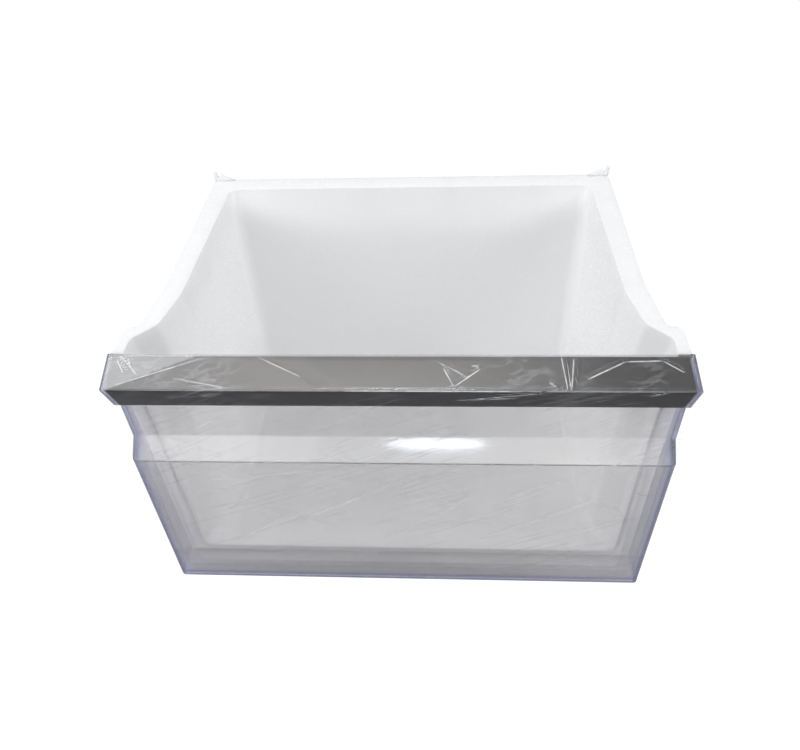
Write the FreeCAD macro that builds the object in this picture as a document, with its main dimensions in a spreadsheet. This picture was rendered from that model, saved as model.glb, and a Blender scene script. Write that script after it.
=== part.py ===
import FreeCAD, Part
import math
import os
import Sketcher
from FreeCAD import Placement, Rotation, Vector

# Driving dimensions, in millimetres.
# A depth runs back from the tip of the handle's nose, and a height runs up from the floor.
DIMENSIONS = {
    "overall_depth": 300.0,
    "rim_height": 264.0,
    # Bin: plan of the inside, from the open mouth to the back wall
    "bin_wall": 2.4,
    "floor_height": 10.0,
    "bend_height": 226.0,
    "mouth_half_width": 207.0,
    "shoulder_depth": 41.0,
    "throat_half_width": 190.0,
    "throat_depth": 59.0,
    "side_half_width": 182.0,
    "side_depth": 100.0,
    "back_half_width": 179.0,
    "back_depth": 278.0,
    "bend_back_inset": 12.5,
    "bend_side_inset": 3.5,
    "floor_back_inset": 20.0,
    "floor_side_inset": 8.0,
    "corner_radius": 12.0,
    "side_radius": 60.0,
    "throat_radius": 14.0,
    "shoulder_radius": 9.0,
    "floor_radius": 8.0,
    # Bin: rim, wings, skirt and stop lugs
    "rim_half_width": 199.5,
    "rim_plate": 2.4,
    "rim_skirt": 9.0,
    "skirt_wall": 2.2,
    "rim_corner": 9.0,
    "flare_depth": 112.0,
    "flare_half_width": 206.0,
    "wing_half_width": 217.0,
    "wing_depth": 56.0,
    "wing_corner": 7.0,
    "lug_height": 10.0,
    "lug_length": 21.0,
    "lug_thickness": 3.2,
    "lug_slot": 2.4,
    # Bin: mouth flange that carries the cover
    "mouth_top_depth": 23.0,
    "mouth_floor_depth": 31.0,
    "flange_thickness": 2.6,
    "flange_low_half_width": 213.6,
    "flange_high_half_width": 216.8,
    "flange_floor_gap": 2.7,
    # Bin: ribs under the rim and under the floor
    "gusset_thickness": 1.8,
    "gusset_drop": 30.0,
    "gusset_count": 4,
    "gusset_pitch": 46.0,
    "back_gusset_pitch": 84.0,
    "runner_half_gauge": 128.0,
    "runner_width": 2.6,
    "runner_start_depth": 42.0,
    "runner_length": 196.0,
    "cross_rib_count": 3,
    "cross_rib_pitch": 78.0,
    # Clear cover: outline seen from the front
    "base_half_width": 216.5,
    "crease_half_width": 219.5,
    "lip_half_width": 220.5,
    "nose_half_width": 222.5,
    "top_half_width": 218.4,
    # Clear cover and trim: outline seen from the side
    "crease_height": 166.4,
    "grip_depth": 16.0,
    "grip_low_height": 181.0,
    "grip_high_height": 216.0,
    "lip_depth": 8.0,
    "lip_height": 224.0,
    "nose_height": 247.3,
    "top_back_depth": 22.2,
    "cover_wall": 2.5,
    "cheek_wall": 4.2,
    "return_floor_depth": 37.0,
    "return_high_depth": 29.4,
    "return_high_height": 253.6,
    "cover_round": 3.0,
    "barb_height": 2.2,
    "barb_root": 0.4,
    "barb_gap": 0.5,
    "barb_length": 2.8,
    "barb_width": 18.0,
    # Handle trim, its tape and the protective film
    "trim_thickness": 1.0,
    "hem_height": 255.0,
    "tape_thickness": 0.4,
    "tape_margin": 0.14,
    "tape_end_gap": 6.0,
    "end_gap": 0.3,
    "film_gap": 0.3,
    "film_thickness": 0.2,
    "film_low_height": 9.0,
    "film_side_gap": 1.5,
}

TINY = 1e-9
TINY_STEP = 0.01
BARB_HEIGHTS = (40.0, 95.0, 150.0)
BARB_CENTRES = (-150.0, -50.0, 50.0, 150.0)

doc = FreeCAD.newDocument("drawer")
dims = doc.addObject("Spreadsheet::Sheet", "dims")
for row, (alias, value) in enumerate(DIMENSIONS.items(), 1):
    dims.set(f"A{row}", alias)
    dims.set(f"B{row}", str(value))
    dims.setAlias(f"B{row}", alias)
doc.recompute()


def size(text):
    """Give the value of an expression on the sheet's aliases."""
    return float(dims.evalExpression(text))


def row_y(depth):
    """Turn a depth behind the nose into the row's Y, measured from the middle of the part."""
    return f"({depth}) + dims.film_gap + dims.film_thickness - dims.overall_depth / 2"


def row_side(points):
    """Turn (depth, height) pairs into sketch corners on the YZ plane."""
    return [(row_y(depth), height) for depth, height in points]


# Sketch helpers
def pin_point(sketch, line, end, corner):
    """Hold one end of a line at a pair of expressions."""
    for kind, axis, text in zip(("DistanceX", "DistanceY"), (-2, -1), corner):
        value = size(text)
        if abs(value) < TINY:
            sketch.addConstraint(Sketcher.Constraint("PointOnObject", line, end, axis))
            continue
        index = sketch.addConstraint(Sketcher.Constraint(kind, -1, 1, line, end, value))
        sketch.setExpression(f"Constraints[{index}]", text)


def turn_at(before, corner, after, radius):
    """Give the tangent points, the centre and the turning sense of a rounded corner."""
    back = (before - corner).normalize()
    ahead = (after - corner).normalize()
    half = back.getAngle(ahead) / 2
    reach = radius / math.tan(half)
    centre = corner + (back + ahead).normalize() * (radius / math.sin(half))
    turns_left = back.cross(ahead).z < 0
    return corner + back * reach, corner + ahead * reach, centre, turns_left


def draw_polygon(sketch, corners):
    """Draw a closed polygon: each corner is a pair of expressions, with a radius after it to round it."""
    points = [Vector(size(corner[0]), size(corner[1]), 0) for corner in corners]
    count = len(points)
    turns = {}
    for index, corner in enumerate(corners):
        if len(corner) > 2:
            before, after = points[index - 1], points[(index + 1) % count]
            turns[index] = turn_at(before, points[index], after, size(corner[2]))
    first = sketch.GeometryCount
    for index in range(count):
        following = (index + 1) % count
        start = turns[index][1] if index in turns else points[index]
        end = turns[following][0] if following in turns else points[following]
        sketch.addGeometry(Part.LineSegment(start, end), False)
    for index, corner in enumerate(corners):
        arriving, leaving = first + (index - 1) % count, first + index
        if index in turns:
            mark = sketch.addGeometry(Part.Point(points[index]), True)
            sketch.addConstraint(Sketcher.Constraint("PointOnObject", mark, 1, arriving))
            sketch.addConstraint(Sketcher.Constraint("PointOnObject", mark, 1, leaving))
            pin_point(sketch, mark, 1, corner[:2])
            round_corner(sketch, turns[index], arriving, leaving, corner[2])
        else:
            sketch.addConstraint(Sketcher.Constraint("Coincident", arriving, 2, leaving, 1))
            pin_point(sketch, leaving, 1, corner)


def round_corner(sketch, turn, arriving, leaving, radius):
    """Put a tangent arc between two lines."""
    start, end, centre, turns_left = turn
    low, high = (start, end) if turns_left else (end, start)
    angles = [math.atan2(point.y - centre.y, point.x - centre.x) for point in (low, high)]
    circle = Part.Circle(centre, Vector(0, 0, 1), size(radius))
    arc = sketch.addGeometry(Part.ArcOfCircle(circle, *angles), False)
    first, second = (1, 2) if turns_left else (2, 1)
    sketch.addConstraint(Sketcher.Constraint("Tangent", arriving, 2, arc, first))
    sketch.addConstraint(Sketcher.Constraint("Tangent", arc, second, leaving, 1))
    held = sketch.addConstraint(Sketcher.Constraint("Radius", arc, size(radius)))
    sketch.setExpression(f"Constraints[{held}]", radius)


def left_normal(start, end):
    """Give the unit normal on the left of a run."""
    run = (end - start).normalize()
    return Vector(-run.y, run.x, 0)


def mitred(points, distance):
    """Move a path to its left by a distance, with mitred corners, as a first guess for the solver."""
    moved = []
    normals = [left_normal(a, b) for a, b in zip(points, points[1:])]
    for index, point in enumerate(points):
        before = normals[max(index - 1, 0)]
        after = normals[min(index, len(normals) - 1)]
        middle = (before + after).normalize()
        moved.append(point + middle * (distance / middle.dot(after)))
    return moved


def draw_strip(sketch, path, near, far):
    """Draw the closed strip between two offsets to the left of a path, with square ends."""
    points = [Vector(size(x), size(y), 0) for x, y in path]
    runs = len(points) - 1
    for index in range(runs):
        sketch.addGeometry(Part.LineSegment(points[index], points[index + 1]), True)
        pin_point(sketch, index, 1, path[index])
    pin_point(sketch, runs - 1, 2, path[-1])
    for index in range(runs - 1):
        sketch.addConstraint(Sketcher.Constraint("Coincident", index, 2, index + 1, 1))
    firsts = []
    for text in (near, far):
        side = mitred(points, size(text))
        firsts.append(sketch.GeometryCount)
        for index in range(runs):
            line = sketch.addGeometry(Part.LineSegment(side[index], side[index + 1]), False)
            sketch.addConstraint(Sketcher.Constraint("Parallel", line, index))
            held = sketch.addConstraint(Sketcher.Constraint("Distance", line, 1, index, abs(size(text))))
            sketch.setExpression(f"Constraints[{held}]", f"abs({text})")
            if index:
                sketch.addConstraint(Sketcher.Constraint("Coincident", line - 1, 2, line, 1))
    near_first, far_first = firsts
    for end, line_shift in ((1, 0), (2, runs - 1)):
        near_line, far_line = near_first + line_shift, far_first + line_shift
        near_point = sketch.getPoint(near_line, end)
        far_point = sketch.getPoint(far_line, end)
        cap = sketch.addGeometry(Part.LineSegment(near_point, far_point), False)
        sketch.addConstraint(Sketcher.Constraint("Coincident", cap, 1, near_line, end))
        sketch.addConstraint(Sketcher.Constraint("Coincident", cap, 2, far_line, end))
        sketch.addConstraint(Sketcher.Constraint("Perpendicular", cap, line_shift))
        sketch.addConstraint(Sketcher.Constraint("PointOnObject", line_shift, end, cap))


def draw_offset_loop(sketch, path, offsets, back):
    """Draw a path moved to its left, run by run, and close it with an upright line far behind."""
    points = [Vector(size(x), size(y), 0) for x, y in path]
    runs = len(points) - 1
    for index in range(runs):
        sketch.addGeometry(Part.LineSegment(points[index], points[index + 1]), True)
        pin_point(sketch, index, 1, path[index])
        if index:
            sketch.addConstraint(Sketcher.Constraint("Coincident", index - 1, 2, index, 1))
    pin_point(sketch, runs - 1, 2, path[-1])
    moved = []
    for index in range(runs):
        shift = left_normal(points[index], points[index + 1]) * size(offsets[index])
        moved.append((points[index] + shift, points[index + 1] + shift))
    corners = [at_x(moved[0], size(back))]
    corners += [crossing(a, b) for a, b in zip(moved, moved[1:])]
    corners.append(at_x(moved[-1], size(back)))
    first = sketch.GeometryCount
    for index in range(runs):
        line = sketch.addGeometry(Part.LineSegment(corners[index], corners[index + 1]), False)
        sketch.addConstraint(Sketcher.Constraint("Parallel", line, index))
        held = sketch.addConstraint(Sketcher.Constraint("Distance", line, 1, index, size(offsets[index])))
        sketch.setExpression(f"Constraints[{held}]", offsets[index])
        if index:
            sketch.addConstraint(Sketcher.Constraint("Coincident", line - 1, 2, line, 1))
    close = sketch.addGeometry(Part.LineSegment(corners[-1], corners[0]), False)
    sketch.addConstraint(Sketcher.Constraint("Coincident", close - 1, 2, close, 1))
    sketch.addConstraint(Sketcher.Constraint("Coincident", close, 2, first, 1))
    sketch.addConstraint(Sketcher.Constraint("Vertical", close))
    held = sketch.addConstraint(Sketcher.Constraint("DistanceX", -1, 1, close, 1, size(back)))
    sketch.setExpression(f"Constraints[{held}]", back)


def at_x(line, x):
    """Give the point of a line at an X."""
    start, end = line
    share = (x - start.x) / (end.x - start.x)
    return start + (end - start) * share


def crossing(first, second):
    """Give the point where two lines cross."""
    a, b = first
    c, d = second
    r, t = b - a, d - c
    share = ((c.x - a.x) * t.y - (c.y - a.y) * t.x) / (r.x * t.y - r.y * t.x)
    return a + r * share


def opposite(corners):
    """Mirror a polygon to the other side of the row's middle."""
    return [(f"-({corner[0]})",) + tuple(corner[1:]) for corner in reversed(corners)]


def mirrored(half):
    """Close a right-hand half outline with its mirror image."""
    return list(half) + opposite(half)


def loose_sketch(name, rotation):
    """Make a sketch outside any body, turned onto a row plane."""
    sketch = doc.addObject("Sketcher::SketchObject", name)
    sketch.Placement = Placement(Vector(0, 0, 0), rotation)
    return sketch


SIDE_PLANE = Rotation(Vector(1, 1, 1), 120)
FRONT_PLANE = Rotation(Vector(1, 0, 0), 90)


def extruded(name, sketch, direction, length):
    """Extrude a sketch both ways along a row axis."""
    solid = doc.addObject("Part::Extrusion", name)
    solid.Base = sketch
    solid.DirMode = "Custom"
    solid.Dir = direction
    solid.Symmetric = True
    solid.Solid = True
    solid.setExpression("LengthFwd", length)
    return solid


def side_bar(name, corners):
    """Extrude a polygon drawn in depth and height across the whole width."""
    sketch = loose_sketch(f"{name}_side", SIDE_PLANE)
    draw_polygon(sketch, row_side(corners))
    return extruded(f"{name}_bar", sketch, Vector(1, 0, 0), "2 * dims.nose_half_width + 20")


def side_strip(name, path, near, far):
    """Extrude a strip drawn in depth and height across the whole width."""
    sketch = loose_sketch(f"{name}_side", SIDE_PLANE)
    draw_strip(sketch, row_side(path), near, far)
    return extruded(f"{name}_bar", sketch, Vector(1, 0, 0), "2 * dims.nose_half_width + 20")


def front_block(name, inset, past):
    """Extrude the cover's front outline, drawn in by an inset, along the whole depth."""
    half = [
        ("dims.base_half_width", f"-{past}"),
        ("dims.crease_half_width", "dims.crease_height"),
        ("dims.lip_half_width", "dims.lip_height"),
        ("dims.nose_half_width", "dims.nose_height"),
        ("dims.top_half_width", f"dims.rim_height + {past}"),
    ]
    sketch = loose_sketch(f"{name}_front", FRONT_PLANE)
    draw_polygon(sketch, mirrored([(f"{x} - ({inset})", z) for x, z in half]))
    return extruded(f"{name}_block", sketch, Vector(0, 1, 0), "2 * dims.overall_depth")


def combined(kind, name, parts):
    """Join, cut or intersect solids."""
    result = doc.addObject(f"Part::{kind}", name)
    if kind == "Cut":
        result.Base, result.Tool = parts
    else:
        result.Shapes = parts
    return result


def edge_numbers(shape, wanted):
    """List the numbers of the edges whose two ends satisfy a test."""
    found = []
    for number, edge in enumerate(shape.Edges, 1):
        first, last = edge.Vertexes[0].Point, edge.Vertexes[-1].Point
        if wanted(first, last):
            found.append(number)
    return found


def rounded(name, base, radius, wanted):
    """Round the chosen edges of a solid that stands outside any body."""
    doc.recompute()
    fillet = doc.addObject("Part::Fillet", name)
    fillet.Base = base
    fillet.Edges = [(number, size(radius), size(radius)) for number in edge_numbers(base.Shape, wanted)]
    doc.recompute()
    return fillet


# Body helpers
def origin_item(body, role):
    """Find an origin plane or axis of a body."""
    return next(item for item in body.Origin.OriginFeatures if item.Role == role)


def body_sketch(body, name, role, *polygons, offset="0"):
    """Draw polygons on an origin plane of a body, moved along the plane's normal."""
    sketch = body.newObject("Sketcher::SketchObject", name)
    sketch.AttachmentSupport = [(origin_item(body, role), "")]
    sketch.MapMode = "FlatFace"
    sketch.setExpression(".AttachmentOffset.Base.z", offset)
    for corners in polygons:
        draw_polygon(sketch, corners)
    doc.recompute()
    return sketch


def body_prism(body, kind, name, sketch, length, reversed_way=False, midplane=False):
    """Pad or pocket a sketch by an expression."""
    feature = body.newObject(f"PartDesign::{kind}", name)
    feature.Profile = sketch
    feature.Reversed = reversed_way
    feature.Midplane = midplane
    feature.setExpression("Length", length)
    doc.recompute()
    return feature


def body_loft(body, kind, name, sketches):
    """Add or cut a ruled loft through sketches."""
    feature = body.newObject(f"PartDesign::{kind}", name)
    feature.Profile = sketches[0]
    feature.Sections = sketches[1:]
    feature.Ruled = True
    doc.recompute()
    return feature


def body_round(body, name, radius, wanted):
    """Round the chosen edges of a body's latest feature."""
    base = body.Tip
    fillet = body.newObject("PartDesign::Fillet", name)
    numbers = edge_numbers(base.Shape, wanted)
    fillet.Base = (base, [f"Edge{number}" for number in numbers])
    fillet.setExpression("Radius", radius)
    doc.recompute()
    return fillet


def body_row(body, name, originals, axis, pitch, count):
    """Repeat features along a row axis at a pitch."""
    pattern = body.newObject("PartDesign::LinearPattern", name)
    pattern.Originals = originals
    pattern.Direction = (origin_item(body, axis), [""])
    pattern.setExpression("Length", f"({pitch}) * ({count} - 1)")
    pattern.setExpression("Occurrences", count)
    body.Tip = pattern
    doc.recompute()
    return pattern


# Bin: one white moulding with a bent back wall, a flared mouth, a skirted rim and stop lugs
PLAN_INSETS = {
    "floor": ("dims.floor_side_inset", "dims.floor_back_inset"),
    "bend": ("dims.bend_side_inset", "dims.bend_back_inset"),
    "rim": ("0", "0"),
}


def mouth_depth(height):
    """Give the depth of the leaning mouth plane at a height."""
    lean = "(dims.mouth_floor_depth - dims.mouth_top_depth)"
    return f"dims.mouth_floor_depth - {lean} * ({height}) / dims.rim_height"


def plan(level, front, grow):
    """Give the bin's plan outline at a level, grown by a wall, from a front depth backwards."""
    side_inset, back_inset = PLAN_INSETS[level]
    half = [
        ("dims.mouth_half_width", front),
        ("dims.mouth_half_width", "dims.shoulder_depth", f"dims.shoulder_radius + {grow}"),
        ("dims.throat_half_width", "dims.throat_depth", f"dims.throat_radius - {grow}"),
        ("dims.side_half_width", "dims.side_depth", f"dims.side_radius - {grow}"),
        ("dims.back_half_width", f"dims.back_depth - {back_inset} + {grow}", f"dims.corner_radius + {grow}"),
    ]
    return mirrored([(f"{x} - {side_inset} + {grow}", row_y(depth), *radius) for x, depth, *radius in half])


def upright(first, last):
    """Tell whether an edge climbs."""
    return abs(first.z - last.z) > 5


def build_bin():
    """Build the white bin."""
    body = doc.addObject("PartDesign::Body", "bin")
    rear = "dims.overall_depth - dims.film_gap - dims.film_thickness"
    # Rim slab with its wings, hollowed from below so that a skirt hangs from a plate
    rim_half = [
        ("dims.wing_half_width", "dims.mouth_top_depth"),
        ("dims.wing_half_width", "dims.wing_depth"),
        ("dims.flare_half_width", "dims.wing_depth"),
        ("dims.rim_half_width", "dims.flare_depth"),
        ("dims.rim_half_width", rear),
    ]
    rim_plan = mirrored([(x, row_y(depth)) for x, depth in rim_half])
    slab = body_sketch(body, "rim_plan", "XY_Plane", rim_plan, offset="dims.rim_height")
    body_prism(body, "Pad", "rim_slab", slab, "dims.rim_skirt", reversed_way=True)
    corner_y = size(row_y(rear)) - 0.5
    wing_y = size(row_y("dims.wing_depth"))
    wing_x = size("dims.wing_half_width")
    body_round(body, "rim_corners", "dims.rim_corner", lambda a, b: upright(a, b) and a.y > corner_y)
    body_round(body, "wing_corners", "dims.wing_corner",
               lambda a, b: upright(a, b) and abs(a.y - wing_y) < 0.1 and abs(a.x) > wing_x - 0.1)
    inner_half = [
        ("dims.wing_half_width - dims.skirt_wall", "dims.mouth_top_depth + dims.flange_thickness"),
        ("dims.wing_half_width - dims.skirt_wall", "dims.wing_depth - dims.skirt_wall"),
        ("dims.flare_half_width - dims.skirt_wall", "dims.wing_depth - dims.skirt_wall"),
        ("dims.rim_half_width - dims.skirt_wall", "dims.flare_depth"),
        ("dims.rim_half_width - dims.skirt_wall", f"{rear} - dims.skirt_wall"),
    ]
    inner_plan = mirrored([(x, row_y(depth)) for x, depth in inner_half])
    under = body_sketch(body, "skirt_plan", "XY_Plane", inner_plan, offset="dims.rim_height - dims.rim_skirt")
    body_prism(body, "Pocket", "skirt_hollow", under, "dims.rim_skirt - dims.rim_plate", reversed_way=True)
    # Gussets under the side and back rims
    gusset = [
        ("dims.side_half_width - 4", "dims.rim_height - dims.rim_plate + 0.5"),
        ("dims.rim_half_width - 1", "dims.rim_height - dims.rim_plate + 0.5"),
        ("dims.rim_half_width - 1", "dims.rim_height - dims.rim_skirt + 1"),
        ("dims.side_half_width - 4", "dims.rim_height - dims.gusset_drop"),
    ]
    side_start = row_y("dims.side_depth + 10")
    side_gusset = body_sketch(body, "gusset_side", "XZ_Plane", gusset, opposite(gusset), offset=f"-({side_start})")
    first = body_prism(body, "Pad", "gusset", side_gusset, "dims.gusset_thickness", midplane=True)
    body_row(body, "gusset_row", [first], "Y_Axis", "dims.gusset_pitch", "dims.gusset_count")
    back_gusset = row_side([
        ("dims.back_depth - 6", "dims.rim_height - dims.rim_plate + 0.5"),
        (f"{rear} - 1", "dims.rim_height - dims.rim_plate + 0.5"),
        (f"{rear} - 1", "dims.rim_height - dims.rim_skirt + 1"),
        ("dims.back_depth - 6", "dims.rim_height - dims.gusset_drop"),
    ])
    for number in range(4):
        offset = f"dims.back_gusset_pitch * ({number} - 1.5)"
        sketch = body_sketch(body, f"back_gusset_{number}", "YZ_Plane", back_gusset, offset=offset)
        body_prism(body, "Pad", f"back_rib_{number}", sketch, "dims.gusset_thickness", midplane=True)
    # Runners and cross ribs under the floor
    runner_x = "dims.runner_half_gauge"
    runner_plan = [
        (f"{runner_x} - dims.runner_width / 2", row_y("dims.runner_start_depth")),
        (f"{runner_x} + dims.runner_width / 2", row_y("dims.runner_start_depth")),
        (f"{runner_x} + dims.runner_width / 2", row_y("dims.runner_start_depth + dims.runner_length")),
        (f"{runner_x} - dims.runner_width / 2", row_y("dims.runner_start_depth + dims.runner_length")),
    ]
    runner = body_sketch(body, "runner_plan", "XY_Plane", runner_plan, opposite(runner_plan))
    body_prism(body, "Pad", "runner", runner, "dims.floor_height - 1")
    cross_start = "dims.runner_start_depth + 18"
    cross_plan = mirrored([
        (runner_x, row_y(cross_start)),
        (runner_x, row_y(f"{cross_start} + dims.runner_width")),
    ])
    cross = body_sketch(body, "cross_plan", "XY_Plane", cross_plan, offset="3")
    cross_pad = body_prism(body, "Pad", "cross_rib", cross, "dims.floor_height - 4")
    body_row(body, "cross_rows", [cross_pad], "Y_Axis", "dims.cross_rib_pitch", "dims.cross_rib_count")
    # Outer shell
    levels = {
        "floor": "dims.floor_height - dims.bin_wall",
        "bend": "dims.bend_height",
        "rim": "dims.rim_height - dims.rim_plate / 2",
    }
    shell = []
    for level, height in levels.items():
        front = f"{mouth_depth(height)} + dims.flange_thickness / 2"
        outline = plan(level, front, "dims.bin_wall")
        shell.append(body_sketch(body, f"shell_{level}", "XY_Plane", outline, offset=height))
    body_loft(body, "AdditiveLoft", "shell", shell)
    # Leaning flange round the mouth
    flange = []
    for name, height, half_width in (
        ("low", "dims.flange_floor_gap", "dims.flange_low_half_width"),
        ("high", "dims.rim_height - dims.rim_plate / 2", "dims.flange_high_half_width"),
    ):
        front = mouth_depth(height)
        corners = mirrored([(half_width, row_y(front)), (half_width, row_y(f"{front} + dims.flange_thickness"))])
        flange.append(body_sketch(body, f"flange_{name}", "XY_Plane", corners, offset=height))
    body_loft(body, "AdditiveLoft", "flange", flange)
    # Stop lugs on the rear corners: a ramp along the rear edge that ends in a slotted post
    lug_x = "dims.rim_half_width"
    lug = [
        (f"{lug_x} - dims.lug_length", "dims.rim_height - 1"),
        (f"{lug_x} - 1", "dims.rim_height - 1"),
        (lug_x, "dims.rim_height + dims.lug_height"),
        (f"{lug_x} - 3.2", "dims.rim_height + dims.lug_height"),
        (f"{lug_x} - 4", "dims.rim_height + dims.lug_height * 0.42"),
        (f"{lug_x} - 4 - dims.lug_slot", "dims.rim_height + dims.lug_height * 0.42"),
        (f"{lug_x} - 4 - dims.lug_slot", "dims.rim_height + dims.lug_height * 0.72"),
        (f"{lug_x} - dims.lug_length", "dims.rim_height"),
    ]
    lug_back = row_y(f"{rear} - dims.lug_thickness - 1.2")
    lug_sketch = body_sketch(body, "lug_face", "XZ_Plane", lug, opposite(lug), offset=f"-({lug_back})")
    body_prism(body, "Pad", "lug", lug_sketch, "dims.lug_thickness", reversed_way=True)
    # Cavity, open at the top and at the mouth
    levels = {"floor": "dims.floor_height", "bend": "dims.bend_height", "rim": "dims.rim_height + 1"}
    cavity = []
    for level, height in levels.items():
        outline = plan(level, "dims.mouth_top_depth - 8", "0")
        cavity.append(body_sketch(body, f"cavity_{level}", "XY_Plane", outline, offset=height))
    body_loft(body, "SubtractiveLoft", "cavity", cavity)
    body_round(body, "floor_edges", "dims.floor_radius", floor_edge("dims.floor_height"))
    return body


def floor_edge(height):
    """Make a test for the level edges where the walls meet the floor, the mouth's own edge left out."""
    level = size(height)
    mouth_y = size(row_y("dims.mouth_floor_depth + 2"))
    reach = size("dims.runner_half_gauge + dims.runner_width")

    def at_wall(point):
        return abs(point.z - level) < 0.02 and abs(point.x) > reach

    return lambda first, last: at_wall(first) and at_wall(last) and max(first.y, last.y) > mouth_y


# Side outlines, in depth and height, shared by the clear cover, the trim and the film
NOSE = [
    ("dims.top_back_depth", "dims.rim_height"),
    ("0", "dims.nose_height"),
    ("dims.lip_depth", "dims.lip_height"),
]
GRIP = [
    ("dims.grip_depth", "dims.grip_high_height"),
    ("dims.grip_depth", "dims.grip_low_height"),
    ("0", "dims.crease_height"),
]


def return_depth(height):
    """Give the depth of the cover's rear edge, which leans with the bin's mouth."""
    lean = "(dims.return_floor_depth - dims.return_high_depth)"
    return f"dims.return_floor_depth - {lean} * ({height}) / dims.return_high_height"


# Clear cover: a shallow tray with a grip recess under the nose, cheeks, returns and snap barbs
def cover_hollow():
    """Draw the hollow behind the cover's wall: the wall's inner face, closed far behind it."""
    sketch = loose_sketch("hollow_side", SIDE_PLANE)
    hold = "dims.trim_thickness + dims.tape_thickness + dims.cover_wall"
    path = row_side(NOSE + GRIP + [("0", "0"), ("dims.return_floor_depth", "0")])
    offsets = [hold, hold] + ["dims.cover_wall"] * 5
    draw_offset_loop(sketch, path, offsets, row_y("dims.overall_depth / 2"))
    return extruded("hollow_bar", sketch, Vector(1, 0, 0), "2 * dims.nose_half_width + 20")


def barb(name, corners, rotation, place):
    """Extrude one snap barb and move it to its place."""
    sketch = loose_sketch(f"{name}_outline", rotation)
    draw_polygon(sketch, corners)
    solid = extruded(name, sketch, rotation.multVec(Vector(0, 0, 1)), "dims.barb_width")
    for axis, text in zip("xyz", place):
        solid.setExpression(f".Placement.Base.{axis}", text)
    return solid


def cover_barbs():
    """Make the wedges that catch behind the bin's flange, on both sides and along the bottom."""
    barbs = []
    rise = "(dims.crease_half_width - dims.base_half_width) / dims.crease_height"
    for height in BARB_HEIGHTS:
        wall_x = f"dims.base_half_width + {rise} * {height} - dims.cover_wall"
        catch = row_y(f"{mouth_depth(str(height))} + dims.flange_thickness + dims.barb_gap")
        for side, sign in (("left", -1), ("right", 1)):
            wedge = [
                (f"{sign} * dims.barb_root", "0"),
                (f"{-sign} * dims.barb_height", "0"),
                (f"{sign} * dims.barb_root", "dims.barb_length"),
            ]
            place = (f"{sign} * ({wall_x})", catch, str(height))
            barbs.append(barb(f"{side}_barb_{height:.0f}", wedge, Rotation(), place))
    catch = row_y(f"{mouth_depth('0')} + dims.flange_thickness + dims.barb_gap")
    wedge = [
        ("0", "-dims.barb_root"),
        ("0", "dims.barb_height"),
        ("dims.barb_length", "-dims.barb_root"),
    ]
    for number, centre in enumerate(BARB_CENTRES):
        barbs.append(barb(f"floor_barb_{number}", wedge, SIDE_PLANE, (str(centre), catch, "dims.cover_wall")))
    return barbs


def panel_edge():
    """Make a test for the front panel's outer edges: both sides, the bottom and the two foot corners."""
    front_y = size(row_y("0"))
    crease = size("dims.crease_height")

    def wanted(first, last):
        low = min(first.z, last.z) < TINY_STEP
        on_front = max(abs(first.y - front_y), abs(last.y - front_y)) < TINY_STEP
        below_crease = max(first.z, last.z) < crease + TINY_STEP
        foot = max(first.z, last.z) < TINY_STEP and abs(first.x - last.x) < TINY_STEP
        return low and (foot or (on_front and below_crease))

    return wanted


def build_cover():
    """Build the clear front cover."""
    notch = [
        (return_depth("dims.return_high_height"), "dims.return_high_height"),
        ("dims.mouth_top_depth - 0.2", "dims.return_high_height"),
        ("dims.mouth_top_depth - 0.2", "dims.rim_height"),
    ]
    side = NOSE + GRIP + [("0", "0"), ("dims.return_floor_depth", "0")] + notch
    bar = side_bar("cover", side)
    block = front_block("cover", "0", "0")
    envelope = combined("MultiCommon", "cover_envelope", [bar, block])
    edges = rounded("cover_edges", envelope, "dims.cover_round", panel_edge())
    hollow_block = front_block("hollow", "dims.cover_wall", "1")
    hollow = combined("MultiCommon", "cover_hollow_solid", [cover_hollow(), hollow_block])
    seat_bar = side_strip("seat", NOSE, "-2", "dims.trim_thickness + dims.tape_thickness")
    seat_block = front_block("seat", "dims.cheek_wall", "1")
    seat = combined("MultiCommon", "trim_seat", [seat_bar, seat_block])
    back_slot = side_bar("hem_slot", [
        ("dims.top_back_depth - dims.trim_thickness", "dims.hem_height - 4"),
        ("dims.top_back_depth + 6", "dims.hem_height - 4"),
        ("dims.top_back_depth + 6", "dims.rim_height + 2"),
        ("dims.top_back_depth - dims.trim_thickness", "dims.rim_height + 2"),
    ])
    slot = combined("MultiCommon", "hem_slot", [back_slot, front_block("hem_slot", "dims.cheek_wall", "1")])
    shell = combined("Cut", "cover_shell", [edges, hollow])
    seated = combined("Cut", "cover_seated", [shell, seat])
    slotted = combined("Cut", "cover_slotted", [seated, slot])
    cover = combined("MultiFuse", "front_cover", [slotted] + cover_barbs())
    return cover


# Handle trim: a folded strip over the nose with a hem behind its top edge
def build_trim():
    """Build the metal-look handle trim."""
    path = [("dims.top_back_depth", "dims.hem_height")] + NOSE
    bar = side_strip("trim", path, "0", "dims.trim_thickness")
    block = front_block("trim", "dims.cheek_wall + dims.end_gap", "1")
    return combined("MultiCommon", "handle_trim", [bar, block])


def between(first, last, share):
    """Give the point at a share of the way between two corners."""
    return tuple(f"({a}) + (({b}) - ({a})) * ({share})" for a, b in zip(first, last))


def build_tape(name, first, last):
    """Build one strip of double-sided tape between the trim and the cover."""
    path = [between(first, last, "dims.tape_margin"), between(first, last, "1 - dims.tape_margin")]
    bar = side_strip(name, path, "dims.trim_thickness", "dims.trim_thickness + dims.tape_thickness")
    block = front_block(name, "dims.cheek_wall + dims.tape_end_gap", "1")
    return combined("MultiCommon", name, [bar, block])


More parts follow.
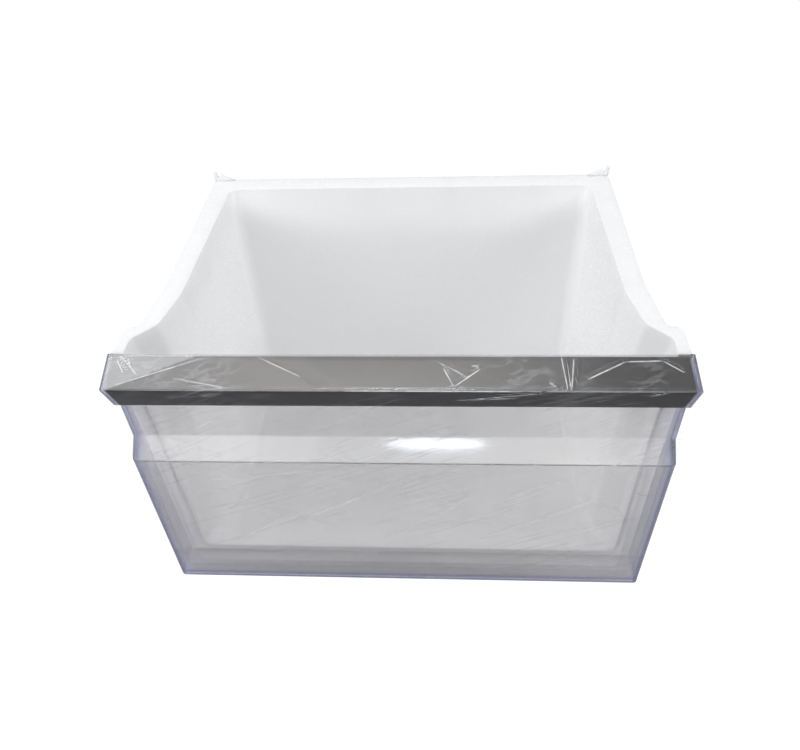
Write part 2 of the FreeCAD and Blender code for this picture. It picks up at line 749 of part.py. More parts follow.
# Protective film: one thin sheet over the handle, straight across the grip recess and down the front
def build_film():
    """Build the protective film as a thin closed solid."""
    top = ("dims.top_back_depth", "dims.hem_height + 2")
    path = [top] + NOSE + [GRIP[-1], ("0", "dims.film_low_height")]
    bar = side_strip("film", path, "-dims.film_gap", "-dims.film_gap - dims.film_thickness")
    block = front_block("film", "dims.film_side_gap", "1")
    return combined("MultiCommon", "protective_film", [bar, block])


def report(name, shape):
    """Print one line on a solid."""
    box = shape.BoundBox
    print(name, shape.isValid(), round(shape.Volume), len(shape.Solids), len(shape.Faces),
          [round(v, 2) for v in (box.XMin, box.XMax, box.YMin, box.YMax, box.ZMin, box.ZMax)])


def main():
    """Build every piece, check it and write it."""
    pieces = {
        "bin": build_bin(),
        "front_cover": build_cover(),
        "handle_trim": build_trim(),
        "upper_trim_tape": build_tape("upper_trim_tape", NOSE[0], NOSE[1]),
        "lower_trim_tape": build_tape("lower_trim_tape", NOSE[1], NOSE[2]),
        "protective_film": build_film(),
    }
    doc.recompute()
    for item in doc.Objects:
        if "Invalid" in item.State or "Error" in item.State:
            raise RuntimeError(f"{item.Name} failed: {item.State}")
    os.makedirs("parts", exist_ok=True)
    for name, piece in pieces.items():
        piece.Label = name
        if piece.Shape.isNull() or not piece.Shape.isValid():
            raise RuntimeError(f"{name} has no valid solid")
        report(name, piece.Shape)
        piece.Shape.exportStep(f"parts/{name}.step")


main()
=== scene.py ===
"""Refrigerator drawer: a white moulded bin, a clear snapped-on front, a folded trim and its film."""
import logging
import math
from dataclasses import dataclass, field
from enum import Enum

import bmesh
import bpy
from mathutils import Matrix, Vector, geometry, noise


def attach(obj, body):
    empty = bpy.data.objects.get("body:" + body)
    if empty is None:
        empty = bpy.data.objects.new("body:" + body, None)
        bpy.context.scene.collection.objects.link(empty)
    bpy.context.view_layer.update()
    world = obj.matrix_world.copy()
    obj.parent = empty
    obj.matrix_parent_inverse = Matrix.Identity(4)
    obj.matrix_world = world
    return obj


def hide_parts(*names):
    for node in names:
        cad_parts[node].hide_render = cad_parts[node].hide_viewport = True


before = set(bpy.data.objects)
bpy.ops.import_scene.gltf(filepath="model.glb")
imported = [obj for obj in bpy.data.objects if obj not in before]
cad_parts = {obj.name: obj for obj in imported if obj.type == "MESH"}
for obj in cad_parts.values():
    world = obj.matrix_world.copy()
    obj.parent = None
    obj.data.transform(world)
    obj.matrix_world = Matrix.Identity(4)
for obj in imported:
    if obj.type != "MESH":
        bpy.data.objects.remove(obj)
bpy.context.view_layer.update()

LOG = logging.getLogger("drawer")
MILLIMETRE = 0.001
Point = tuple[float, float]
Place = tuple[float, float, float]
Colour = tuple[float, float, float]
Mesh = bmesh.types.BMesh
Edges = list[bmesh.types.BMEdge]
Node = bpy.types.Node
Item = bpy.types.Object
Material = bpy.types.Material
WHITE = (1.0, 1.0, 1.0)
# The nose's tip on the row's Y, in millimetres
TIP_Y = -149.5
# Side profile of the cover's handle and panel: depth behind the nose's tip and height
NOSE_TOP = (22.2, 264.0)
NOSE_TIP = (0.0, 247.3)
NOSE_FOOT = (8.0, 224.0)
PANEL_TOP = (0.0, 166.4)
# Front outline of the clear cover: height and half width
FRONT_OUTLINE = [(0.0, 216.5), (PANEL_TOP[1], 219.5), (NOSE_FOOT[1], 220.5), (NOSE_TIP[1], 222.5),
                 (NOSE_TOP[1], 218.4)]


def row_y(depth: float) -> float:
    """Turn a depth behind the nose's tip into the row's Y, in millimetres."""
    return TIP_Y + depth


def mix(first: float, last: float, share: float) -> float:
    """Give the value at a share of the way between two numbers."""
    return first + (last - first) * share


def table_value(stops: list[Point], at: float) -> float:
    """Read a value from a table of stops with straight runs between them.

    Args:
        stops: Pairs of key and value, keys rising.
        at: The key to read at.

    Returns:
        The value, held level past both ends.
    """
    if at <= stops[0][0]:
        return stops[0][1]
    for (low, low_value), (high, high_value) in zip(stops, stops[1:]):
        if at <= high:
            return mix(low_value, high_value, (at - low) / (high - low))
    return stops[-1][1]


class Rounding(Enum):
    """How edges are rounded: the offset in millimetres and the number of segments."""

    MOULDED = (0.35, 2)
    EASED = (0.5, 2)
    BENT = (1.5, 5)


@dataclass(frozen=True)
class Turn:
    """One corner of an open outline, rounded by an arc.

    Args:
        x: Sideways place in millimetres.
        y: Place along the depth in millimetres.
        radius: Radius of the arc, or 0 for a plain corner.
        steps: Points along the arc less one.
        run: Number of steps of the straight run that follows.
    """

    x: float
    y: float
    radius: float = 0.0
    steps: int = 0
    run: int = 1


def rounded_path(turns: list[Turn]) -> list[Vector]:
    """Sample an open outline with rounded corners.

    Args:
        turns: The outline's corners in order.

    Returns:
        The points, the same number for every outline with the same steps and runs.
    """
    corners = [Vector((turn.x, turn.y)) for turn in turns]
    arcs: list[list[Vector]] = []
    for index, turn in enumerate(turns):
        corner = corners[index]
        if turn.radius <= 0.0 or index in (0, len(turns) - 1):
            arcs.append([corner.copy() for _ in range(turn.steps + 1)])
            continue
        back = (corners[index - 1] - corner).normalized()
        ahead = (corners[index + 1] - corner).normalized()
        half = back.angle(ahead) / 2
        reach = turn.radius / math.tan(half)
        centre = corner + (back + ahead).normalized() * (turn.radius / math.sin(half))
        start = corner + back * reach - centre
        end = corner + ahead * reach - centre
        sweep = start.angle_signed(end)
        arcs.append([centre + Matrix.Rotation(-sweep * step / turn.steps, 2) @ start
                     for step in range(turn.steps + 1)])
    points: list[Vector] = []
    for index, arc in enumerate(arcs):
        points.extend(arc)
        if index + 1 < len(arcs):
            start, end = arc[-1], arcs[index + 1][0]
            run = turns[index].run
            points.extend(start.lerp(end, step / run) for step in range(1, run))
    return points


def left_normals(points: list[Vector]) -> list[Vector]:
    """Give the unit normal on the left of a flat path at each of its points."""
    normals = []
    last = len(points) - 1
    for index in range(len(points)):
        before, after = points[max(index - 1, 0)], points[min(index + 1, last)]
        along = after - before
        reach = 1
        while along.length < 1e-6:
            reach += 1
            along = points[min(index + reach, last)] - points[max(index - reach, 0)]
        along.normalize()
        normals.append(Vector((-along.y, along.x)))
    return normals


class Workshop:
    """Bmesh operations in millimetres, and the turning of a mesh into an object in metres."""

    @staticmethod
    def ring(mesh: Mesh, points: list[Vector]) -> Edges:
        """Add an open chain of edges through points."""
        verts = [mesh.verts.new(point) for point in points]
        return [mesh.edges.new(pair) for pair in zip(verts, verts[1:])]

    @staticmethod
    def loft(mesh: Mesh, rings: list[list[Vector]]) -> list[Edges]:
        """Bridge open chains of edges one after the other.

        Args:
            mesh: The mesh that receives the surface.
            rings: Chains with the same number of points.

        Returns:
            The edges of each chain.
        """
        chains = [Workshop.ring(mesh, ring) for ring in rings]
        for low, high in zip(chains, chains[1:]):
            bmesh.ops.bridge_loops(mesh, edges=low + high)
        return chains

    @staticmethod
    def prism(mesh: Mesh, outline: list[Vector], sweep: Vector) -> None:
        """Add a closed prism with rounded edges over a flat outline.

        Args:
            mesh: The mesh that receives the prism.
            outline: The outline's corners in order, in space.
            sweep: The way and length of the prism.
        """
        part = bmesh.new()
        face = part.faces.new([part.verts.new(point) for point in outline])
        grown = bmesh.ops.extrude_face_region(part, geom=[face])
        moved = [item for item in grown["geom"] if isinstance(item, bmesh.types.BMVert)]
        bmesh.ops.translate(part, verts=moved, vec=sweep)
        bmesh.ops.recalc_face_normals(part, faces=part.faces)
        Workshop.round_edges(part, part.edges[:], Rounding.MOULDED)
        Workshop.join(mesh, part)

    @staticmethod
    def round_edges(mesh: Mesh, edges: Edges, rounding: Rounding,
                    millimetre: float = 1.0) -> None:
        """Round some edges of a mesh.

        Args:
            mesh: The mesh.
            edges: The edges that are rounded.
            rounding: How far and how finely.
            millimetre: The length of a millimetre in the mesh's unit.
        """
        offset, segments = rounding.value
        bmesh.ops.bevel(mesh, geom=edges, offset=offset * millimetre, offset_type="OFFSET", segments=segments,
                        profile=0.5, affect="EDGES", clamp_overlap=True, material=-1)

    @staticmethod
    def join(mesh: Mesh, part: Mesh) -> None:
        """Move every face of one mesh into another and free the first."""
        carrier = bpy.data.meshes.new("carrier")
        part.to_mesh(carrier)
        part.free()
        mesh.from_mesh(carrier)
        bpy.data.meshes.remove(carrier)

    @staticmethod
    def upright(mesh: Mesh, towards: Vector, probe: Vector) -> None:
        """Make an open sheet's faces point one way.

        Args:
            mesh: A mesh that holds only the sheet.
            towards: The way that the face nearest to the probe has to look.
            probe: A place on the sheet.
        """
        bmesh.ops.recalc_face_normals(mesh, faces=mesh.faces)
        nearest = min(mesh.faces, key=lambda face: (face.calc_center_median() - probe).length)
        nearest.normal_update()
        if nearest.normal.dot(towards) < 0.0:
            bmesh.ops.reverse_faces(mesh, faces=mesh.faces)

    @staticmethod
    def finish(mesh: Mesh, name: str, smooth_degrees: float, scale: float = MILLIMETRE,
               flat_width: float = math.inf) -> Item:
        """Write a mesh as an object at the origin, smooth across shallow edges.

        Args:
            mesh: The finished mesh, which is freed.
            name: The object's name.
            smooth_degrees: Edges sharper than this stay sharp.
            scale: Factor from the mesh's unit to metres.
            flat_width: Faces wider than this, in metres, keep their own flat normal.

        Returns:
            The new object.
        """
        bmesh.ops.scale(mesh, vec=Vector((scale, scale, scale)), verts=mesh.verts)
        data = bpy.data.meshes.new(name)
        mesh.to_mesh(data)
        mesh.free()
        data.shade_smooth()
        data.set_sharp_from_angle(angle=math.radians(smooth_degrees))
        for face in data.polygons:
            corners = [data.vertices[number].co for number in face.vertices]
            longest = max((a - b).length for a, b in zip(corners, corners[1:] + corners[:1]))
            if face.area > flat_width * longest:
                face.use_smooth = False
        item = bpy.data.objects.new(name, data)
        bpy.context.scene.collection.objects.link(item)
        return item


class Term:
    """A shader value that Python's operators work on."""

    def __init__(self, shop: "NodeShop", socket: bpy.types.NodeSocket) -> None:
        """Wrap a socket of a shop's tree."""
        self.shop = shop
        self.socket = socket

    def _math(self, operation: str, first: "Term | float", second: "Term | float") -> "Term":
        """Add a Math node and wrap its result."""
        return self.shop.node("ShaderNodeMath", {"operation": operation}, {0: first, 1: second})

    def __add__(self, other: "Term | float") -> "Term":
        """Add."""
        return self._math("ADD", self, other)

    __radd__ = __add__

    def __sub__(self, other: "Term | float") -> "Term":
        """Take away."""
        return self._math("SUBTRACT", self, other)

    def __rsub__(self, other: float) -> "Term":
        """Take this away from a number."""
        return self._math("SUBTRACT", other, self)

    def __mul__(self, other: "Term | float") -> "Term":
        """Multiply."""
        return self._math("MULTIPLY", self, other)

    __rmul__ = __mul__

    def __truediv__(self, other: "Term | float") -> "Term":
        """Divide."""
        return self._math("DIVIDE", self, other)

    def __rtruediv__(self, other: float) -> "Term":
        """Divide a number by this."""
        return self._math("DIVIDE", other, self)

    def __pow__(self, other: "Term | float") -> "Term":
        """Raise to a power."""
        return self._math("POWER", self, other)

    def larger(self, other: "Term | float") -> "Term":
        """Take the larger one."""
        return self._math("MAXIMUM", self, other)

    def size(self) -> "Term":
        """Drop the sign."""
        return self._math("ABSOLUTE", self, 0.0)

    def ridge(self, sharpness: float) -> "Term":
        """Give 1 where this is 0, falling to 0 on both sides."""
        return (1.0 - self.size() * sharpness).larger(0.0)

    def band(self, low: float, high: float, start: float = 0.0, end: float = 1.0) -> "Term":
        """Map a range of this value smoothly to another range."""
        inputs = {"Value": self, "From Min": low, "From Max": high, "To Min": start, "To Max": end}
        return self.shop.node("ShaderNodeMapRange", {"interpolation_type": "SMOOTHSTEP"}, inputs)


class NodeShop:
    """Makes the nodes of one shader tree."""

    def __init__(self, owner: Material | bpy.types.World) -> None:
        """Start an empty tree on a material or a world."""
        self.owner = owner
        owner.use_nodes = True
        self.tree = owner.node_tree
        self.tree.nodes.clear()

    def add(self, kind: str, settings: dict, inputs: dict) -> Node:
        """Add a node.

        Args:
            kind: The node's type.
            settings: Its settings, set before the sockets are used.
            inputs: Values, terms or other nodes by socket name or number.

        Returns:
            The node.
        """
        node = self.tree.nodes.new(kind)
        for key, value in settings.items():
            setattr(node, key, value)
        for key, value in inputs.items():
            socket = node.inputs[key]
            if isinstance(value, Term):
                self.tree.links.new(value.socket, socket)
            elif isinstance(value, Node):
                self.tree.links.new(value.outputs[0], socket)
            else:
                socket.default_value = value
        return node

    def node(self, kind: str, settings: dict, inputs: dict, output: int | str = 0) -> Term:
        """Add a node and wrap one of its outputs."""
        return Term(self, self.add(kind, settings, inputs).outputs[output])

    def place(self, scale: Place = (1.0, 1.0, 1.0)) -> Term:
        """Give the object's own coordinates, scaled."""
        coordinates = self.node("ShaderNodeTexCoord", {}, {}, "Object")
        return self.node("ShaderNodeMapping", {}, {"Vector": coordinates, "Scale": scale})

    def slant(self, turn: float, length: float, width: float) -> Term:
        """Give the object's own coordinates for a pattern stretched along a slanted line.

        Args:
            turn: The line's turn about the depth axis, in radians.
            length: The pattern's size along the line, in metres.
            width: Its size across the line.

        Returns:
            The coordinates.
        """
        coordinates = self.node("ShaderNodeTexCoord", {}, {}, "Object")
        inputs = {"Vector": coordinates, "Rotation": (0.0, turn, 0.0), "Scale": (length, width, width)}
        return self.node("ShaderNodeMapping", {"vector_type": "TEXTURE"}, inputs)

    def own(self, name: str) -> Term:
        """Read a value that the mesh carries."""
        return self.node("ShaderNodeAttribute", {"attribute_name": name}, {}, "Fac")

    def ray(self, kind: str) -> Term:
        """Give 1 to the rays of one kind."""
        return self.node("ShaderNodeLightPath", {}, {}, f"Is {kind} Ray")

    def noise(self, vector: Term, scale: float, detail: float = 3.0, roughness: float = 0.55) -> Term:
        """Give a noise value on a vector."""
        inputs = {"Vector": vector, "Scale": scale, "Detail": detail, "Roughness": roughness}
        return self.node("ShaderNodeTexNoise", {}, inputs, "Fac")

    def bump(self, height: Term, distance: float, strength: float = 1.0) -> Term:
        """Turn a height in units of a distance into a normal."""
        return self.node("ShaderNodeBump", {}, {"Height": height, "Distance": distance, "Strength": strength})

    def blend(self, share: Term, first: Term | Colour, last: Colour) -> Term:
        """Mix two colours by the share of the last."""
        start = first if isinstance(first, Term) else (*first, 1.0)
        return self.node("ShaderNodeMix", {"data_type": "RGBA"}, {0: share, 6: start, 7: (*last, 1.0)}, 2)

    def clear(self, colour: Colour) -> Node:
        """Let light straight through, with a cast."""
        return self.add("ShaderNodeBsdfTransparent", {}, {"Color": (*colour, 1.0)})

    def coat(self, colour: Term | Colour, roughness: Term | float, **others: Term | float | tuple) -> Node:
        """Give a surface its colour, its roughness and what other sockets of the Principled node hold.

        Args:
            colour: The base colour.
            roughness: The roughness.
            others: Values or terms by socket name, with underscores for spaces.

        Returns:
            The shader.
        """
        base = colour if isinstance(colour, Term) else (*colour, 1.0)
        inputs = {"Base Color": base, "Roughness": roughness}
        inputs.update((key.replace("_", " "), value) for key, value in others.items())
        return self.add("ShaderNodeBsdfPrincipled", {}, inputs)

    def merge(self, share: Term | float, first: Node, last: Node) -> Node:
        """Mix two shaders by the share of the last."""
        return self.add("ShaderNodeMixShader", {}, {0: share, 1: first, 2: last})

    def output(self, surface: Node, **inside: Node) -> Material:
        """Send a shader, and what fills its inside, to the output and give the material."""
        self.add("ShaderNodeOutputMaterial", {}, {"Surface": surface, **inside})
        return self.owner


@dataclass(frozen=True)
class WhitePlastic:
    """Semi-gloss white moulding with a faint grain and light handling marks."""

    name: str = "white_moulding"
    slot: str = "white_plastic"
    colour: Colour = (0.925, 0.930, 0.940)
    warm: Colour = (0.932, 0.930, 0.930)
    roughness: float = 0.25
    grain_height: float = 0.00001
    glow: float = 0.5
    glow_spread: Place = (1.0, 1.0, 1.0)
    glow_depth: float = 0.008

    def material(self) -> Material:
        """Build the material."""
        shop = NodeShop(bpy.data.materials.new(self.name))
        place = shop.place()
        cloud = shop.noise(place, 9.0, 2.0)
        grain = shop.noise(place, 900.0, 2.0)
        scuffs = shop.noise(shop.place((300.0, 1500.0, 300.0)), 1.0, 4.0, 0.7).band(0.62, 0.8)
        roughness = self.roughness + grain * 0.04 + scuffs * 0.04
        surface = shop.coat(shop.blend(cloud, self.colour, self.warm), roughness, IOR=1.49,
                            Normal=shop.bump(grain, self.grain_height, 0.2), Subsurface_Weight=self.glow,
                            Subsurface_Radius=self.glow_spread, Subsurface_Scale=self.glow_depth)
        return shop.output(surface)


@dataclass(frozen=True)
class ClearPlastic:
    """Polished clear moulding with a blue-violet cast in its thickness, and a painted blue-violet edge glow
    strongest at its front corners.
    """

    name: str = "clear_moulding"
    slot: str = "clear_plastic"
    colour: Colour = (0.985, 0.975, 0.95)
    cloudy: Colour = (0.99, 0.98, 0.955)
    # side and edge are painted edge glow: light through the thickness seen edge-on, painted as colour by
    # place
    side: Colour = (0.945, 0.945, 1.0)
    edge: Colour = (0.43, 0.45, 0.72)
    straight: Colour = (0.97, 0.965, 0.975)
    straight_share: float = 0.22
    shadow: Colour = (0.95, 0.95, 0.97)
    cast: Colour = (0.30, 0.31, 0.66)
    density: float = 10.0
    roughness: float = 0.05
    flow_height: float = 0.0001
    lean: float = 0.018
    painted_side_glow_band: Point = (0.2030, 0.2100)
    corners: Point = (0.2118, 0.2140)
    painted_glow_foot: Point = (0.0030, 0.0045)
    front: Point = (-0.1440, -0.1400)
    recess_foot: Point = (0.160, 0.170)
    recess_depth: float = 0.014

    def tint_and_painted_edge_glow(self, shop: NodeShop, place: Term, flow: Term) -> Term:
        """Give the colour: nearly clear, with a painted edge glow: bluish at the sides and violet along the
        front's edges.

        Args:
            shop: The material's nodes.
            place: The object's own coordinates.
            flow: The cloudiness of the moulding.

        Returns:
            The colour.
        """
        parts = shop.add("ShaderNodeSeparateXYZ", {}, {"Vector": place})
        sideways, depth, height = (Term(shop, parts.outputs[number]) for number in range(3))
        off_middle = sideways.size() - height * self.lean
        behind_front = depth - height.band(*self.recess_foot, 0.0, self.recess_depth)
        # Painted edge glow: violet painted along the front's sides and bottom edge
        edges = off_middle.band(*self.corners).larger(height.band(*self.painted_glow_foot, 1.0, 0.0))
        middle = shop.blend(flow.band(0.3, 0.7), self.colour, self.cloudy)
        body = shop.blend(off_middle.band(*self.painted_side_glow_band), middle, self.side)
        return shop.blend(edges * behind_front.band(*self.front, 1.0, 0.0), body, self.edge)

    def material(self) -> Material:
        """Build the material."""
        shop = NodeShop(bpy.data.materials.new(self.name))
        place = shop.place()
        flow = shop.noise(place, 14.0, 2.0)
        surface = shop.coat(self.tint_and_painted_edge_glow(shop, place, flow), self.roughness + flow * 0.02,
                            Normal=shop.bump(flow, self.flow_height, 0.2), IOR=1.55, Transmission_Weight=1.0)
        plastic = shop.merge(self.straight_share, surface, shop.clear(self.straight))
        both = shop.merge(shop.ray("Shadow"), plastic, shop.clear(self.shadow))
        inside = {"Color": (*self.cast, 1.0), "Density": self.density}
        return shop.output(both, Volume=shop.add("ShaderNodeVolumeAbsorption", {}, inside))


@dataclass(frozen=True)
class TrimMetal:
    """Satin metal-look sheet with a fine lengthwise grain."""

    name: str = "satin_trim"
    slot: str = "trim_metal"
    colour: Colour = (0.125, 0.124, 0.125)
    warm: Colour = (0.136, 0.133, 0.129)
    roughness: float = 0.27
    grain_height: float = 0.00001

    def material(self) -> Material:
        """Build the material."""
        shop = NodeShop(bpy.data.materials.new(self.name))
        grain = shop.noise(shop.place((6.0, 900.0, 900.0)), 1.0, 3.0, 0.6)
        cloud = shop.noise(shop.place(), 16.0, 2.0)
        roughness = self.roughness + grain * 0.08 + cloud * 0.05
        return shop.output(shop.coat(shop.blend(cloud.band(0.3, 0.7), self.colour, self.warm), roughness,
                                     Normal=shop.bump(grain, self.grain_height, 0.12), Metallic=1.0))


@dataclass(frozen=True)
class TapeFinish:
    """Milky double-sided tape with a paper-like mottle."""

    name: str = "milky_tape"
    colour: Colour = (0.80, 0.80, 0.78)
    fibre: Colour = (0.74, 0.74, 0.72)
    roughness: float = 0.55
    mottle_height: float = 0.00005

    def material(self) -> Material:
        """Build the material."""
        shop = NodeShop(bpy.data.materials.new(self.name))
        mottle = shop.noise(shop.place(), 260.0, 4.0)
        colour = shop.blend(mottle.band(0.3, 0.7), self.colour, self.fibre)
        return shop.output(shop.coat(colour, self.roughness + mottle * 0.15,
                                     Normal=shop.bump(mottle, self.mottle_height, 0.4)))


@dataclass(frozen=True)
class FilmFinish:
    """Thin clear film whose creases catch the light, their whitish lines partly milky whitening and partly
    painted highlight.
    """

    name: str = "clear_film"
    slot: str = "film"
    colour: Colour = (0.985, 0.988, 0.995)
    milk_and_painted_sheen: Colour = (0.93, 0.935, 0.945)
    through: Colour = (0.995, 0.995, 0.997)
    roughness: float = 0.07
    milk_roughness: float = 0.4
    relief_height: float = 0.0008
    least_shine: float = 0.022
    grazing_shine: float = 0.9
    least_haze: float = 0.008
    wrinkle_whitening_and_painted_sheen: float = 0.09
    fold_whitening_and_painted_highlight: float = 0.8
    lifted_corner_painted_sheen: float = 0.2

    def material(self) -> Material:
        """Build the material."""
        shop = NodeShop(bpy.data.materials.new(self.name))
        rising = shop.noise(shop.slant(-0.42, 0.30, 0.016), 1.0, 3.0, 0.6)
        falling = shop.noise(shop.slant(0.55, 0.10, 0.02), 1.0, 3.0)
        patches = shop.noise(shop.place(), 10.0, 2.0).band(0.42, 0.62)
        broken = shop.noise(shop.place(), 160.0, 2.0).band(0.30, 0.60, 0.55, 1.0)
        wrinkles = ((rising - 0.5).ridge(30.0) + (falling - 0.5).ridge(50.0) * 0.5) * patches
        folds = shop.own("fold_away").ridge(1.5) * shop.own("fold_strength") * broken
        relief = shop.bump(rising * 0.6 + falling * 0.4 + folds, self.relief_height, 0.35)
        gloss = shop.coat(self.colour, self.roughness + rising * 0.06, Normal=relief, Metallic=1.0)
        milk_and_painted_sheen = shop.coat(self.milk_and_painted_sheen, self.milk_roughness, Normal=relief)
        facing = shop.node("ShaderNodeLayerWeight", {}, {"Blend": 0.5, "Normal": relief}, "Facing")
        shine = self.least_shine + facing ** 5.0 * self.grazing_shine
        # Faint even haze, plus whitening and painted highlight along the wrinkles and creases
        haze = self.least_haze + wrinkles * self.wrinkle_whitening_and_painted_sheen + folds * self.fold_whitening_and_painted_highlight
        # Painted sheen on the loose corner, where the film lifts
        haze = haze + shop.own("veil_painted_sheen") * self.lifted_corner_painted_sheen
        return shop.output(shop.merge(haze, shop.merge(shine, shop.clear(self.through), gloss), milk_and_painted_sheen))


@dataclass(frozen=True)
class FloorPaint:
    """Plain white floor that stays white to the camera and keeps the object's shadow."""

    name: str = "white_floor"
    colour: Colour = (0.45, 0.45, 0.46)
    mirrored: Colour = (0.10, 0.10, 0.11)
    mirrored_share: float = 0.8
    white_share: float = 0.6
    white_strength: float = 1.52
    roughness: float = 0.9

    def material(self) -> Material:
        """Build the material."""
        shop = NodeShop(bpy.data.materials.new(self.name))
        white = shop.add("ShaderNodeEmission", {}, {"Color": (*WHITE, 1.0), "Strength": self.white_strength})
        mirror_ray = shop.ray("Glossy") * (1.0 - shop.ray("Transmission"))
        floor = shop.merge(mirror_ray * self.mirrored_share, shop.coat(self.colour, self.roughness),
                           shop.coat(self.mirrored, self.roughness))
        return shop.output(shop.merge(shop.ray("Camera") * self.white_share, floor, white))


@dataclass(frozen=True)
class CardPaint:
    """Dull grey card."""

    name: str = "grey_card_paint"
    colour: Colour = (0.40, 0.40, 0.42)
    roughness: float = 0.9

    def material(self) -> Material:
        """Build the material."""
        shop = NodeShop(bpy.data.materials.new(self.name))
        return shop.output(shop.coat(self.colour, self.roughness))


def dress(item: Item, finish: WhitePlastic | ClearPlastic | TrimMetal | FilmFinish) -> None:
    """Put one finish on an object."""
    item.data.materials.clear()
    item.data.materials.append(finish.material())


